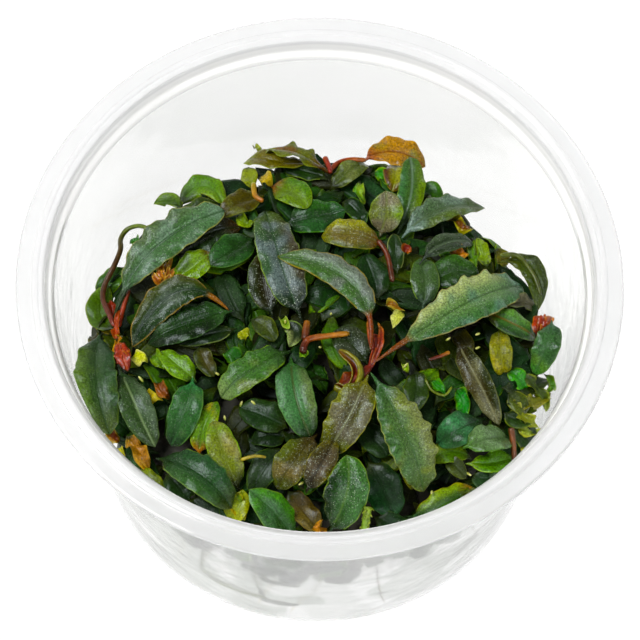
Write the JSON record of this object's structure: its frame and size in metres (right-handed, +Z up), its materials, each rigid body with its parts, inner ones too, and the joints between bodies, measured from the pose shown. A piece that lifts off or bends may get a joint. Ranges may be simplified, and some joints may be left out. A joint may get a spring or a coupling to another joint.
{
  "type": "potted aquarium plant",
  "caption": "Clump of dark, wavy-edged aquarium plants filling a clear round plastic cup with a flat flanged rim.",
  "frame": {"origin": "centre of the cup's underside, on the table", "axes": "+Z up along the cup's axis, +X to the right as the picture shows the cup, -Y toward the viewer"},
  "size_m": [0.1, 0.1, 0.06],
  "materials": {
    "clear_cup": "clear polypropylene, slightly milky, thin wall",
    "shaded_growth": "dark small leaves, stems and roots in shade",
    "leaf_deep_green": "dark green living leaf, satin",
    "leaf_green": "green living leaf, satin, with fine pale speckles",
    "leaf_teal": "dark blue-green living leaf with a cool sheen",
    "leaf_grey_sheen": "grey-green living leaf with a lavender sheen",
    "leaf_purple_brown": "purple-brown young leaf, satin",
    "leaf_olive": "olive leaf that turns brown, satin",
    "leaf_yellow_green": "bright yellow-green new leaf",
    "leaf_yellow": "yellow old leaf",
    "leaf_amber": "amber-orange old leaf, glossy",
    "stem_orange": "orange-brown stem",
    "stalk_brown": "dark brown leaf stalk",
    "sheath_red": "red sheath, bud or stem, wet gloss"
  },
  "bodies": {
    "root": {"cup": "clear_cup", "lower_growth": "shaded_growth", "middle_leaf_1": "leaf_purple_brown", "rear_leaf_1": "leaf_deep_green", "rear_leaf_2": "leaf_yellow_green", "rear_leaf_3": "leaf_olive", "rear_leaf_4": "leaf_yellow_green", "rear_leaf_5": "leaf_olive", "rear_leaf_6": "leaf_olive", "rear_leaf_7": "leaf_yellow_green", "rear_leaf_8": "leaf_amber", "rear_leaf_9": "leaf_green", "rear_leaf_10": "leaf_olive", "right_leaf_1": "leaf_deep_green", "middle_leaf_3": "leaf_green", "right_leaf_2": "leaf_teal", "rear_leaf_11": "leaf_teal", "rear_leaf_12": "leaf_olive", "right_leaf_3": "leaf_green", "arching_stalk": "stalk_brown", "middle_leaf_4": "leaf_yellow_green", "scaly_bud": "stem_orange", "middle_leaf_5": "leaf_green", "middle_leaf_6": "leaf_purple_brown", "middle_leaf_7": "leaf_grey_sheen", "front_leaf_1": "leaf_deep_green", "cut_stem": "stem_orange", "red_stem": "sheath_red", "middle_leaf_8": "leaf_grey_sheen", "left_leaf_1": "leaf_deep_green", "left_leaf_2": "leaf_teal", "left_leaf_3": "leaf_deep_green", "left_leaf_4": "leaf_teal", "left_leaf_5": "leaf_teal", "red_sheath": "sheath_red", "left_leaf_6": "leaf_yellow_green", "left_leaf_7": "leaf_yellow_green", "left_leaf_8": "leaf_green", "front_leaf_2": "leaf_green", "front_leaf_3": "leaf_green", "front_leaf_4": "leaf_olive", "front_leaf_5": "leaf_green", "front_leaf_6": "leaf_yellow_green", "front_leaf_7": "leaf_teal", "rolled_leaf": "sheath_red", "front_leaf_8": "leaf_olive", "front_leaf_9": "leaf_purple_brown", "front_leaf_10": "leaf_green", "fringed_stalk": "leaf_yellow_green", "right_leaf_4": "leaf_teal", "right_leaf_5": "leaf_yellow_green", "right_leaf_6": "leaf_green", "front_leaf_11": "leaf_yellow_green", "front_leaf_12": "leaf_green", "right_leaf_7": "leaf_yellow", "right_leaf_8": "leaf_purple_brown", "right_leaf_9": "leaf_green", "right_leaf_10": "leaf_green", "red_bud": "sheath_red", "right_leaf_11": "leaf_teal"}
  },
  "joints": []
}
